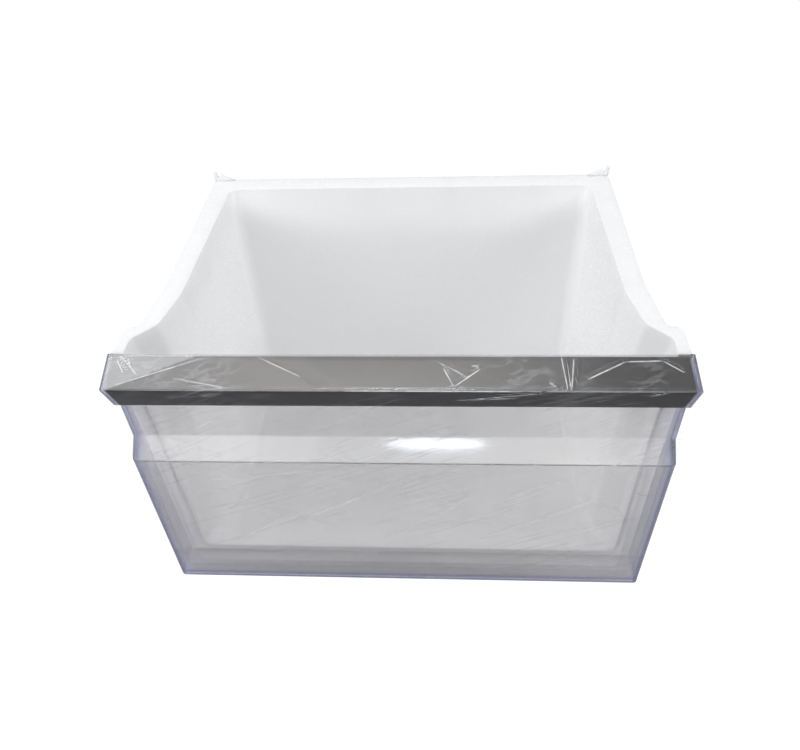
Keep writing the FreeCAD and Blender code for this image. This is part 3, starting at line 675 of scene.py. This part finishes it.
@dataclass
class Bin:
    """The white moulding: walls with a bent upper part, a flared mouth, a skirted rim and stop lugs."""

    wall: float = 2.4
    floor: float = 10.0
    bend: float = 226.0
    rim: float = 264.0
    skirt: float = 9.0
    floor_radius: float = 8.0
    edge_radius: float = 1.2
    floor_inset: Point = (8.0, 20.0)
    bend_inset: Point = (3.5, 12.5)
    side_bend: float = 247.0
    back_bend: float = 223.0
    soft_bend: float = 14.0
    wall_front: Point = (182.0, 100.0)
    wall_back: Point = (179.0, 278.0)
    mouth_depth: float = 31.0
    mouth_lean: float = 8.0
    flange_gap: float = 0.15
    flange_thickness: float = 2.45
    lug_depth: float = 295.1
    lug_thickness: float = 3.2
    gusset_thickness: float = 1.8
    gusset_first: float = 110.0
    gusset_pitch: float = 46.0
    back_gusset_pitch: float = 84.0
    runner_off: float = 128.0
    runner_half: float = 1.3
    runner_run: Point = (42.0, 238.0)
    cross_first: float = 60.0
    cross_pitch: float = 78.0
    cross_thickness: float = 2.6
    cross_foot: float = 3.0
    floor_steps: int = 6
    edge_steps: int = 3
    levels: tuple[float, ...] = (60.0, 110.0, 160.0, 190.0, *(198.0 + 4.0 * step for step in range(16)))
    smooth_degrees: float = 28.0
    finish: WhitePlastic = field(default_factory=WhitePlastic)

    def mouth(self, height: float) -> float:
        """Give the depth of the leaning mouth plane at a height."""
        return self.mouth_depth - self.mouth_lean * height / self.rim

    def plan(self, side: float, back: float, height: float) -> list[Vector]:
        """Sample the inside's plan outline.

        Args:
            side: How far the side walls stand in at this level.
            back: How far the back wall stands in.
            height: The level, which sets the mouth's depth.

        Returns:
            Points from the right of the mouth round the back to the left.
        """
        half = [
            Turn(207.0 - side, row_y(self.mouth(height)), run=2),
            Turn(207.0 - side, row_y(41.0), 9.0, 6, 2),
            Turn(190.0 - side, row_y(59.0), 14.0, 6, 3),
            Turn(self.wall_front[0] - side, row_y(self.wall_front[1]), 60.0, 8, 10),
            Turn(self.wall_back[0] - side, row_y(self.wall_back[1] - back), 12.0, 10, 24),
        ]
        return rounded_path(self.closed(half))

    def outer_rim(self) -> list[Vector]:
        """Sample the rim's outer outline, point for point with the plan."""
        half = [
            Turn(217.0, row_y(23.0), run=2),
            Turn(217.0, row_y(56.0), 7.0, 6, 2),
            Turn(205.8, row_y(56.3), 4.0, 6, 3),
            Turn(199.5, row_y(112.0), 60.0, 8, 10),
            Turn(199.5, row_y(299.5), 9.0, 10, 24),
        ]
        return rounded_path(self.closed(half))

    @staticmethod
    def closed(half: list[Turn]) -> list[Turn]:
        """Add the left half of an outline to its right half, with each run's steps kept."""
        runs = [turn.run for turn in half[:-1]]
        left = [Turn(-turn.x, turn.y, turn.radius, turn.steps, run)
                for turn, run in zip(reversed(half), [*reversed(runs), 1])]
        return half + left

    def bend_height(self, point: Vector) -> float:
        """Give the height of the wall's bend: low in the middle of the back, high in the corners."""
        if point.y < row_y(250.0):
            return self.side_bend
        return min(self.side_bend, mix(self.back_bend, self.side_bend, (abs(point.x) / 168.0) ** 4))

    def wall_ring(self, height: float, out: float = 0.0, lift: float | None = None) -> list[Vector]:
        """Give one ring of the inner wall.

        Args:
            height: Where on the wall's slope the ring lies.
            out: How far it is moved outwards, square to the wall in plan.
            lift: Its own height where that differs.

        Returns:
            The ring's points in space.
        """
        low = self.plan(*self.floor_inset, self.floor)
        middle = self.plan(*self.bend_inset, self.bend)
        high = self.plan(0.0, 0.0, self.rim)
        normals = left_normals(high)
        ring = []
        for a, b, c, normal in zip(low, middle, high, normals):
            bend = self.bend_height(b)
            soft = min(self.soft_bend, (self.rim - bend) * 0.9)
            knee = a.lerp(b, (bend - self.floor) / (self.bend - self.floor))
            start = a.lerp(b, (bend - soft - self.floor) / (self.bend - self.floor))
            end = knee.lerp(c, soft / (self.rim - bend))
            if height <= bend - soft:
                point = a.lerp(b, (height - self.floor) / (self.bend - self.floor))
            elif height >= bend + soft:
                point = knee.lerp(c, (height - bend) / (self.rim - bend))
            else:
                share = (height - bend + soft) / (2.0 * soft)
                point = start.lerp(knee, share).lerp(knee.lerp(end, share), share)
            point = point - normal * out
            ring.append(Vector((point.x, point.y, height if lift is None else lift)))
        return ring

    def shell(self) -> Mesh:
        """Build the walls, floor, rim and skirt as one sheet with a thickness behind it."""
        mesh = bmesh.new()
        rings = []
        for step in range(self.floor_steps + 1):
            angle = math.radians(90.0 * step / self.floor_steps)
            inward = self.floor_radius * (1.0 - math.sin(angle))
            rise = self.floor_radius * (1.0 - math.cos(angle))
            rings.append(self.wall_ring(self.floor + rise, -inward))
        rings += [self.wall_ring(height) for height in self.levels]
        low = self.rim - self.edge_radius
        for step in range(self.edge_steps + 1):
            angle = math.radians(90.0 * step / self.edge_steps)
            out = self.edge_radius * (1.0 - math.cos(angle))
            rings.append(self.wall_ring(low, out, low + self.edge_radius * math.sin(angle)))
        outline = self.outer_rim()
        normals = left_normals(outline)
        for step in range(self.edge_steps + 1):
            angle = math.radians(90.0 - 90.0 * step / self.edge_steps)
            inward = self.edge_radius * (1.0 - math.cos(angle))
            height = low + self.edge_radius * math.sin(angle)
            rings.append([Vector((*(point + normal * inward), height))
                          for point, normal in zip(outline, normals)])
        for height in (self.rim - self.skirt + 0.4, self.rim - self.skirt):
            rings.append([Vector((*point, height)) for point in outline])
        chains = Workshop.loft(mesh, rings)
        floor_verts = [edge.verts[0] for edge in chains[0]] + [chains[0][-1].verts[1]]
        mesh.faces.new(floor_verts)
        bmesh.ops.remove_doubles(mesh, verts=mesh.verts, dist=0.001)
        Workshop.upright(mesh, Vector((0.0, 0.0, 1.0)), Vector((0.0, 0.0, self.floor)))
        bmesh.ops.solidify(mesh, geom=mesh.faces[:], thickness=self.wall)
        return mesh

    def flange(self, mesh: Mesh) -> None:
        """Add the leaning flange round the mouth."""
        half = [(213.6, 2.7), (216.8, 262.8), (208.2, 262.8), (205.1, 246.0), (200.4, 17.6), (199.2, 13.3),
                (196.1, 10.1), (191.2, 8.8)]
        outline = half + [(-x, z) for x, z in reversed(half)]
        corners = [Vector((x, row_y(self.mouth(z)) + self.flange_gap, z)) for x, z in outline]
        Workshop.prism(mesh, corners, Vector((0.0, self.flange_thickness, 0.0)))

    def lugs(self, mesh: Mesh) -> None:
        """Add the stop lugs on the rear corners, each a ramp that ends in a slotted post."""
        face = [(178.5, 263.0), (198.5, 263.0), (199.5, 274.0), (196.3, 274.0), (195.5, 268.2),
                (193.1, 268.2), (193.1, 271.2), (178.5, 264.0)]
        self.plates(mesh, face, self.lug_depth, self.lug_thickness)

    @staticmethod
    def plates(mesh: Mesh, face: list[Point], depth: float, thickness: float) -> None:
        """Add an upright plate on the right and its mirror image on the left.

        Args:
            mesh: The mesh that receives them.
            face: The right one's corners: sideways place and height.
            depth: The depth where they begin.
            thickness: How thick they are.
        """
        for side in (1.0, -1.0):
            corners = [Vector((side * x, row_y(depth), z)) for x, z in face]
            Workshop.prism(mesh, corners, Vector((0.0, thickness, 0.0)))

    @staticmethod
    def gusset_face(top: float, outer: float, foot: float) -> list[Point]:
        """Give a gusset's corners, as place off the wall and height."""
        return [(top, 262.1), (outer, 262.1), (outer, 256.0), (foot, 234.0)]

    def ribs(self, mesh: Mesh) -> None:
        """Add the gussets under the rim and the runners and cross ribs under the floor."""
        for number in range(4):
            depth = self.gusset_first + self.gusset_pitch * number
            share = (depth - self.wall_front[1]) / (self.wall_back[1] - self.wall_front[1])
            wall_x = mix(self.wall_front[0], self.wall_back[0], share)
            face = self.gusset_face(wall_x + 1.2, 198.5, wall_x - 2.2)
            self.plates(mesh, face, depth - self.gusset_thickness / 2, self.gusset_thickness)
        for number in range(4):
            profile = self.gusset_face(279.2, 298.5, 270.8)
            across = self.back_gusset_pitch * (number - 1.5) - self.gusset_thickness / 2
            corners = [Vector((across, row_y(depth), z)) for depth, z in profile]
            Workshop.prism(mesh, corners, Vector((self.gusset_thickness, 0.0, 0.0)))
        for side in (1.0, -1.0):
            self.bar(mesh, (side * self.runner_off, self.runner_half), self.runner_run, 0.0)
        for number in range(3):
            start = self.cross_first + self.cross_pitch * number
            self.bar(mesh, (0.0, self.runner_off), (start, start + self.cross_thickness), self.cross_foot)

    def bar(self, mesh: Mesh, width: Point, depths: Point, foot: float) -> None:
        """Add an upright bar under the floor.

        Args:
            mesh: The mesh that receives it.
            width: The middle and the half of its width.
            depths: The depths where it begins and ends.
            foot: The height of its underside.
        """
        middle, half = width
        start, end = depths
        corners = [Vector((middle + x, row_y(depth), foot))
                   for x, depth in ((-half, start), (half, start), (half, end), (-half, end))]
        Workshop.prism(mesh, corners, Vector((0.0, 0.0, self.floor - self.wall / 2 - foot)))

    def build(self) -> Item:
        """Build and dress the bin."""
        mesh = self.shell()
        self.flange(mesh)
        self.lugs(mesh)
        self.ribs(mesh)
        item = Workshop.finish(mesh, "bin_moulding", self.smooth_degrees)
        dress(item, self.finish)
        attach(item, "root")
        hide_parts("bin")
        return item


@dataclass
class FrontCover:
    """The clear cover with its grip recess, cheeks and snap barbs."""

    merge_distance: float = 0.002
    flat_degrees: float = 0.4
    bend_run: float = 300.0
    bend_degrees: tuple[float, float] = (40.0, 60.0)
    sharp_degrees: float = 25.0
    smooth_degrees: float = 30.0
    flat_width: float = 1.2
    finish: ClearPlastic = field(default_factory=ClearPlastic)

    @staticmethod
    def folded(mesh: Mesh, low: float, high: float = math.inf) -> Edges:
        """Find the edges whose two faces turn by an angle within two limits, in degrees."""
        return [edge for edge in mesh.edges
                if edge.is_manifold and math.radians(low) < edge.calc_face_angle(0.0) < math.radians(high)]

    def build(self) -> Item:
        """Build and dress the cover from a merged copy of its solid, with its edges rounded."""
        mesh = bmesh.new()
        mesh.from_mesh(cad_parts["front_cover"].data)
        bmesh.ops.remove_doubles(mesh, verts=mesh.verts, dist=self.merge_distance * MILLIMETRE)
        bmesh.ops.dissolve_limit(mesh, angle_limit=math.radians(self.flat_degrees), verts=mesh.verts,
                                 edges=mesh.edges, use_dissolve_boundaries=False, delimit=set())
        bends = [edge for edge in self.folded(mesh, *self.bend_degrees)
                 if edge.calc_length() > self.bend_run * MILLIMETRE]
        Workshop.round_edges(mesh, bends, Rounding.BENT, MILLIMETRE)
        Workshop.round_edges(mesh, self.folded(mesh, self.sharp_degrees), Rounding.EASED, MILLIMETRE)
        bmesh.ops.triangulate(mesh, faces=[face for face in mesh.faces if len(face.verts) > 4])
        item = Workshop.finish(mesh, "front_cover_moulding", self.smooth_degrees, 1.0,
                               self.flat_width * MILLIMETRE)
        dress(item, self.finish)
        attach(item, "root")
        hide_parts("front_cover")
        return item


@dataclass
class HandleTrim:
    """The folded metal-look strip over the nose, with a hem behind its top edge."""

    thickness: float = 1.0
    inset: float = 4.5
    columns: int = 60
    hem_foot: float = 255.0
    smooth_degrees: float = 40.0
    finish: TrimMetal = field(default_factory=TrimMetal)

    def build(self) -> Item:
        """Build and dress the trim."""
        turns = [Turn(NOSE_TOP[0], self.hem_foot, run=3), Turn(*NOSE_TOP, 1.2, 5, 8),
                 Turn(*NOSE_TIP, 1.6, 7, 8), Turn(*NOSE_FOOT)]
        side = rounded_path(turns)
        rings = []
        for column in range(self.columns + 1):
            share = 2.0 * column / self.columns - 1.0
            rings.append([Vector((share * (table_value(FRONT_OUTLINE, z) - self.inset), row_y(depth), z))
                          for depth, z in side])
        mesh = bmesh.new()
        Workshop.loft(mesh, rings)
        bmesh.ops.remove_doubles(mesh, verts=mesh.verts, dist=0.0005)
        Workshop.upright(mesh, Vector((0.0, -1.0, -0.3)), Vector((0.0, row_y(4.0), 235.0)))
        bmesh.ops.solidify(mesh, geom=mesh.faces[:], thickness=self.thickness)
        item = Workshop.finish(mesh, "handle_trim_strip", self.smooth_degrees)
        dress(item, self.finish)
        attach(item, "root")
        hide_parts("handle_trim")
        return item


@dataclass(frozen=True)
class Crease:
    """One crease in the film.

    Args:
        start: Sideways place and length along the sheet where it begins.
        end: Where it ends.
        height: How far it stands off.
        width: Half its width.
    """

    start: Point
    end: Point
    height: float = 0.4
    width: float = 2.6

    def off(self, x: float, along: float) -> tuple[float, float]:
        """Give the signed distance from the crease and the fading share towards its ends.

        Args:
            x: Sideways place on the sheet.
            along: Length along the sheet.

        Returns:
            The distance, negative on one side, and a share that is 0 beyond both ends.
        """
        run = Vector(self.end) - Vector(self.start)
        off = Vector((x, along)) - Vector(self.start)
        share = off.dot(run) / run.length_squared
        fade = max(0.0, 1.0 - abs(2.0 * share - 1.0) ** 3)
        return (run.x * off.y - run.y * off.x) / run.length, fade

    def lift(self, x: float, along: float) -> float:
        """Give the crease's height at a place on the sheet."""
        away, fade = self.off(x, along)
        return self.height * fade * max(0.0, 1.0 - abs(away) / self.width)


@dataclass
class ProtectiveFilm:
    """The thin sheet that lies over the handle, bridges the recess and runs down the front."""

    pitch: float = 1.8
    gap: float = 0.15
    room: float = 0.32
    thickness: float = 0.05
    width: float = 442.0
    inset: float = 1.5
    reach: float = 3.5
    unmarked: float = 9.0
    finish: FilmFinish = field(default_factory=FilmFinish)
    creases: tuple[Crease, ...] = (
        Crease((36.0, 16.4), (44.1, 31.4), 0.5),
        Crease((44.1, 31.4), (65.3, 17.1), 0.5),
        Crease((57.3, 15.7), (63.9, 15.6), 0.4, 2.4),
        Crease((124.3, 8.1), (126.5, 33.3), 0.5, 2.4),
        Crease((133.7, 8.8), (129.3, 33.3), 0.45, 2.4),
        Crease((141.0, 25.9), (170.8, 12.5), 0.5),
        Crease((113.0, 27.4), (119.3, 31.9), 0.4, 2.4),
        Crease((-212.4, 7.5), (-195.6, 23.0), 0.45, 3.0),
        Crease((-168.5, 25.2), (-126.1, 32.7)),
        Crease((-104.7, 9.0), (-70.0, 24.2)),
        Crease((-146.6, 9.8), (-212.6, 31.4), 0.5, 3.0),
        Crease((55.3, 46.5), (110.1, 36.5), 0.45),
        Crease((186.1, 40.6), (197.7, 35.8)),
        Crease((91.7, 157.4), (139.5, 134.8)),
        Crease((171.4, 118.3), (179.2, 113.4)),
        Crease((197.1, 150.2), (211.7, 155.1)),
        Crease((-167.8, 139.9), (-56.3, 125.4), 0.3),
        Crease((-20.8, 220.7), (58.6, 162.1), 0.3),
        Crease((-89.9, 192.9), (25.4, 124.1), 0.3),
        Crease((68.7, 218.4), (166.1, 160.0), 0.3),
        Crease((-158.6, 224.3), (-88.0, 178.7), 0.3),
        # These two creases run along the nose's ridge: besides their small lift they carry a painted
        # highlight in the film's milky haze
        Crease((-40.0, 34.8), (98.0, 34.8), 0.7, 2.0),
        Crease((-218.0, 34.8), (218.0, 34.8), 0.25, 2.0),
        Crease((26.4, 9.7), (55.8, 24.6), 0.12, 2.0),
        Crease((45.0, 48.3), (92.8, 44.6), 0.35, 2.4),
        Crease((170.8, 12.5), (198.0, 11.8), 0.35),
        Crease((198.0, 11.8), (212.0, 20.5), 0.35),
        Crease((-214.0, 11.0), (-206.5, 22.0), 0.5),
        Crease((-206.0, 8.5), (-199.5, 20.5), 0.5),
    )
    # The loose corner's triangle, which carries a painted sheen of the lifted film
    veil: tuple[Point, Point, Point] = ((-222.0, 36.0), (-222.0, 6.0), (-146.0, 6.0))
    side: tuple[Point, ...] = ((NOSE_TOP[0], 257.0), NOSE_TOP, NOSE_TIP, NOSE_FOOT, PANEL_TOP, (0.0, 9.0))

    def build(self) -> Item:
        """Build and dress the film."""
        total = sum(math.dist(a, b) for a, b in zip(self.side, self.side[1:]))
        columns = round(self.width / self.pitch)
        rows = round(total / self.pitch)
        mesh = bmesh.new()
        bmesh.ops.create_grid(mesh, x_segments=columns, y_segments=rows, size=0.5)
        layers = [mesh.verts.layers.float.new(name) for name in ("fold_away", "fold_strength", "veil_painted_sheen")]
        for vert in mesh.verts:
            across = vert.co.x * 2.0
            along = (0.5 - vert.co.y) * total
            for layer, value in zip(layers, self.marks(across * self.width / 2, along)):
                vert[layer] = value
            vert.co = self.place(across, along)
        Workshop.upright(mesh, Vector((0.0, -1.0, 0.0)), Vector((0.0, row_y(0.0), 80.0)))
        bmesh.ops.solidify(mesh, geom=mesh.faces[:], thickness=self.thickness)
        item = Workshop.finish(mesh, "protective_film_sheet", 180.0)
        dress(item, self.finish)
        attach(item, "root")
        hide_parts("protective_film")
        return item

    def place(self, across: float, along: float) -> Vector:
        """Lay one point of the sheet.

        Args:
            across: Place over the width, from -1 to 1.
            along: Length from the top edge.

        Returns:
            The point in space.
        """
        passed = 0.0
        for start, end in zip(self.side, self.side[1:]):
            length = math.dist(start, end)
            if along <= passed + length or end == self.side[-1]:
                break
            passed += length
        share = min(max((along - passed) / length, 0.0), 1.0)
        depth, height = mix(start[0], end[0], share), mix(start[1], end[1], share)
        normal = Vector((end[1] - start[1], start[0] - end[0])).normalized()
        half = table_value(FRONT_OUTLINE, height) - self.inset
        lift = self.gap + min(self.wrinkle(across * half, along), self.room)
        return Vector((across * half, row_y(depth + normal.x * lift), height + normal.y * lift))

    def marks(self, x: float, along: float) -> tuple[float, float, float]:
        """Give what the finish reads at a place on the sheet.

        Args:
            x: Sideways place.
            along: Length from the top edge.

        Returns:
            The signed distance from the nearest crease, how strong it is there, and whether the place lies in
            the loose corner's painted sheen.
        """
        near, strength = self.unmarked, 0.0
        for crease in self.creases:
            away, fade = crease.off(x, along)
            if fade > 0.0 and abs(away) < min(abs(near), self.reach):
                near, strength = away, fade ** 0.5 * crease.height * 2.0
        corners = [Vector(corner) for corner in self.veil]
        return near, strength, float(geometry.intersect_point_tri_2d(Vector((x, along)), *corners) != 0)

    def wrinkle(self, x: float, along: float) -> float:
        """Give the height of the sheet's wrinkles over its flat lie."""
        slant = Vector((0.030 * x - 0.055 * along, 0.006 * x + 0.004 * along, 1.0))
        ridged = 1.0 - abs(noise.noise(slant)) * 4.0
        swell = noise.noise(Vector((0.012 * x, 0.02 * along, 5.0)))
        lift = 0.10 + 0.10 * swell + 0.16 * max(ridged, 0.0) * (0.5 + swell)
        return max(lift, 0.0) + sum(crease.lift(x, along) for crease in self.creases)


@dataclass
class Tapes:
    """The two strips of double-sided tape behind the trim's faces."""

    finish: TapeFinish = field(default_factory=TapeFinish)

    def build(self) -> list[Item]:
        """Dress the tapes' own solids."""
        material = self.finish.material()
        strips = [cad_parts[name] for name in ("upper_trim_tape", "lower_trim_tape")]
        for strip in strips:
            strip.data.materials.clear()
            strip.data.materials.append(material)
        return strips


@dataclass(frozen=True)
class Lamp:
    """A flat oval soft light.

    Args:
        name: Its name.
        eye: Where it hangs.
        size: Its width and height.
        watts: Its power.
        colour: Its colour.
    """

    name: str
    eye: Place
    size: Point
    watts: float
    colour: Colour = (1.0, 0.99, 0.97)

    def hang(self, aim: Vector) -> None:
        """Hang the light so that it looks at a place."""
        data = bpy.data.lights.new(self.name, "AREA")
        data.shape = "ELLIPSE"
        data.size, data.size_y = self.size
        data.energy = self.watts
        data.color = self.colour
        item = bpy.data.objects.new(self.name, data)
        item.location = self.eye
        item.rotation_euler = (Vector(self.eye) - aim).to_track_quat("Z", "Y").to_euler()
        bpy.context.scene.collection.objects.link(item)


@dataclass
class Studio:
    """Floor, world, lamps and camera, whose angles are in radians."""

    focal_pixels: float = 752.68
    picture_pixels: float = 800.0
    sensor: float = 36.0
    pitch: float = 0.73392
    azimuth: float = 0.08253
    roll: float = -0.05315
    eye: Place = (0.038345, -0.550273, 0.62629)
    aim: Place = (0.0, 0.0, 0.15)
    floor_half: float = 6.0
    air: Colour = (0.92, 0.955, 1.0)
    air_strength: float = 0.60
    card_half: float = 0.5
    card_place: Place = (0.86, -0.72, 1.32)
    lamps: tuple[Lamp, ...] = (
        Lamp("key", (-0.90, -0.8, 1.4), (1.5, 1.2), 4.1, (1.0, 0.975, 0.93)),
        Lamp("above", (0.0, 0.05, 1.5), (0.6, 0.6), 1.0, (1.0, 0.975, 0.94)),
        Lamp("bar", (0.01, -1.144, 1.290), (0.28, 0.022), 0.36, (0.86, 0.93, 1.0)),
        Lamp("front", (-0.1, -1.15, 1.62), (0.5, 0.3), 3.2),
        Lamp("left", (-1.35, -0.25, 1.05), (0.8, 0.8), 8.0),
        Lamp("right", (1.35, -0.25, 1.05), (0.8, 0.8), 8.3),
    )

    @staticmethod
    def board(name: str, half: float, place: Place, paint: FloorPaint | CardPaint, seen: bool) -> None:
        """Lay a level square board.

        Args:
            name: The board's name.
            half: Half its side, in metres.
            place: The place of its middle.
            paint: Its finish.
            seen: Whether the camera sees it.
        """
        mesh = bmesh.new()
        bmesh.ops.create_grid(mesh, x_segments=1, y_segments=1, size=half)
        bmesh.ops.translate(mesh, verts=mesh.verts, vec=Vector(place))
        item = Workshop.finish(mesh, name, 30.0, 1.0)
        item.data.materials.append(paint.material())
        item.visible_camera = seen

    def world(self) -> None:
        """Light the scene from all round, with a white backdrop for what is seen directly."""
        world = bpy.data.worlds.new("studio")
        bpy.context.scene.world = world
        shop = NodeShop(world)
        seen = shop.ray("Camera").larger(shop.ray("Transmission")).larger(shop.ray("Glossy"))
        air = shop.add("ShaderNodeBackground", {}, {"Color": (*self.air, 1.0), "Strength": self.air_strength})
        backdrop = shop.add("ShaderNodeBackground", {}, {"Color": (*WHITE, 1.0)})
        shop.add("ShaderNodeOutputWorld", {}, {"Surface": shop.merge(seen, air, backdrop)})

    def camera(self) -> None:
        """Stand the camera where the photograph was taken from."""
        forward = Vector((-math.sin(self.azimuth) * math.cos(self.pitch),
                          math.cos(self.azimuth) * math.cos(self.pitch), -math.sin(self.pitch)))
        level = Vector((math.cos(self.azimuth), math.sin(self.azimuth), 0.0))
        over = level.cross(forward)
        right = level * math.cos(self.roll) + over * math.sin(self.roll)
        up = over * math.cos(self.roll) - level * math.sin(self.roll)
        data = bpy.data.cameras.new("photo_camera")
        data.sensor_width = self.sensor
        data.lens = self.focal_pixels / self.picture_pixels * self.sensor
        item = bpy.data.objects.new("photo_camera", data)
        turn = Matrix((right, up, -forward)).transposed().to_4x4()
        item.matrix_world = Matrix.Translation(Vector(self.eye)) @ turn
        bpy.context.scene.collection.objects.link(item)
        bpy.context.scene.camera = item

    def build(self) -> None:
        """Set up everything round the drawer."""
        bpy.context.scene.view_settings.view_transform = "Standard"
        self.board("floor", self.floor_half, (0.0, 0.0, 0.0), FloorPaint(), True)
        self.world()
        for lamp in self.lamps:
            lamp.hang(Vector(self.aim))
        # The card stands on the right, so that the trim darkens towards that end
        self.board("grey_card", self.card_half, self.card_place, CardPaint(), False)
        self.camera()


def main() -> None:
    """Build every piece in order and report it."""
    Studio().build()
    for maker in (Bin(), FrontCover(), HandleTrim(), Tapes(), ProtectiveFilm()):
        made = maker.build()
        for item in made if isinstance(made, list) else [made]:
            LOG.info("%s: %d faces", item.name, len(item.data.polygons))


if __name__ == "__main__":
    logging.basicConfig(level=logging.INFO)
    main()
